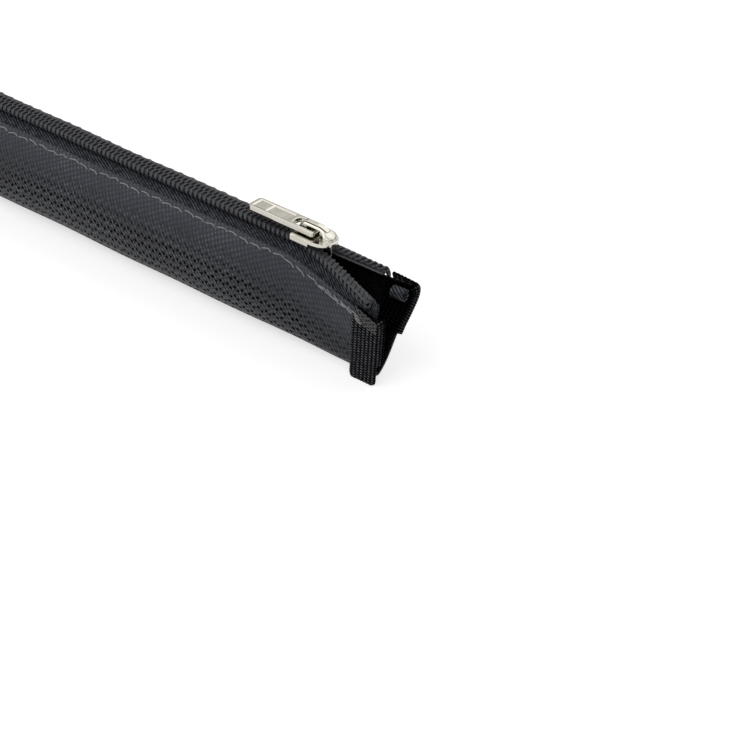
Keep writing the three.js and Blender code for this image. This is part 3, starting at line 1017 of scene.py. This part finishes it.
def floor():
    signs = ((-1, -1), (1, -1), (1, 1), (-1, 1))
    corners = [(FLOOR_HALF * i, FLOOR_HALF * j, -FLOOR_DROP) for i, j in signs]
    mesh = bpy.data.meshes.new("floor")
    mesh.from_pydata([Vector(c) for c in corners], [], [(0, 1, 2, 3)])
    obj = bpy.data.objects.new("floor", mesh)
    bpy.context.scene.collection.objects.link(obj)
    net = Net("pale floor")
    path = net.node("ShaderNodeLightPath")
    seen = net.math("MAXIMUM", path.outputs["Is Camera Ray"], path.outputs["Is Glossy Ray"])
    seen = net.math("MAXIMUM", seen, path.outputs["Is Transmission Ray"])
    net.feed(net.shader.inputs["Emission Color"], (1, 1, 1, 1))
    net.feed(net.shader.inputs["Emission Strength"], net.math("MULTIPLY", seen, FLOOR_GLOW))
    net.finish((0.7, 0.7, 0.7, 1), 0.9)
    mesh.materials.append(net.material)


def lamp(name, size, power, place, look):
    data = bpy.data.lights.new(name, "AREA")
    data.shape = "DISK"
    data.size = size
    data.energy = power
    obj = bpy.data.objects.new(name, data)
    obj.location = place
    obj.rotation_euler = (Vector(look) - Vector(place)).to_track_quat("-Z", "Y").to_euler()
    bpy.context.scene.collection.objects.link(obj)


def world():
    """White to the camera and in reflections, brighter above, and dimmer as light on the cloth."""
    made = bpy.data.worlds.new("studio")
    bpy.context.scene.world = made
    made.use_nodes = True
    tree = made.node_tree
    background = tree.nodes["Background"]
    path = tree.nodes.new("ShaderNodeLightPath")
    seen = path.outputs["Is Camera Ray"]
    for ray in ("Is Glossy Ray", "Is Transmission Ray"):
        either = tree.nodes.new("ShaderNodeMath")
        either.operation = "MAXIMUM"
        tree.links.new(seen, either.inputs[0])
        tree.links.new(path.outputs[ray], either.inputs[1])
        seen = either.outputs[0]
    strength = tree.nodes.new("ShaderNodeMapRange")
    strength.inputs["To Min"].default_value = AMBIENT
    strength.inputs["To Max"].default_value = 1.0
    tree.links.new(seen, strength.inputs["Value"])
    tree.links.new(strength.outputs[0], background.inputs["Strength"])
    direction = tree.nodes.new("ShaderNodeTexCoord")
    split = tree.nodes.new("ShaderNodeSeparateXYZ")
    tree.links.new(direction.outputs["Generated"], split.inputs[0])
    overhead = tree.nodes.new("ShaderNodeMapRange")
    overhead.interpolation_type = "SMOOTHSTEP"
    overhead.inputs["From Min"].default_value = 0.05
    overhead.inputs["From Max"].default_value = 0.75
    tree.links.new(split.outputs[2], overhead.inputs["Value"])
    shade = tree.nodes.new("ShaderNodeMix")
    shade.data_type = "RGBA"
    shade.inputs[6].default_value = (0.16, 0.155, 0.145, 1)
    shade.inputs[7].default_value = (1, 1, 1, 1)
    tree.links.new(overhead.outputs[0], shade.inputs[0])
    tree.links.new(shade.outputs[2], background.inputs["Color"])


CAMERA_AZIMUTH = 36.73
CAMERA_ELEVATION = 32.76
CAMERA_ROLL = 3.50
CAMERA_DISTANCE = 0.5766
CAMERA_TARGET = Vector((0.12371, -0.01126, 0.00714))
FOCAL_PIXELS = 2348.8
PHOTO_PIXELS = 730


def camera():
    data = bpy.data.cameras.new("camera")
    obj = bpy.data.objects.new("camera", data)
    a, e = math.radians(CAMERA_AZIMUTH), math.radians(CAMERA_ELEVATION)
    back = Vector((math.sin(a) * math.cos(e), -math.cos(a) * math.cos(e), math.sin(e)))
    right = Vector((math.cos(a), math.sin(a), 0))
    up = back.cross(right)
    k, s = math.cos(math.radians(CAMERA_ROLL)), math.sin(math.radians(CAMERA_ROLL))
    right, up = k * right + s * up, -s * right + k * up
    basis = Matrix((right, up, back)).transposed().to_4x4()
    basis.translation = CAMERA_TARGET + back * CAMERA_DISTANCE
    obj.matrix_world = basis
    data.sensor_fit = "HORIZONTAL"
    data.sensor_width = 36.0
    data.lens = FOCAL_PIXELS / PHOTO_PIXELS * data.sensor_width
    data.clip_start = 0.01
    bpy.context.scene.collection.objects.link(obj)
    bpy.context.scene.camera = obj


floor()
lamp("key", 1.2, 3.3, (-0.25, -0.5, 0.6), (0.08, 0, 0))
lamp("fill", 0.8, 0.8, (0.6, -0.35, 0.35), (0.1, 0, 0))
lamp("back", 0.9, 1.3, (0.1, 0.5, 0.5), (0.1, 0, 0))
world()
camera()
bpy.context.scene.view_settings.view_transform = "Standard"
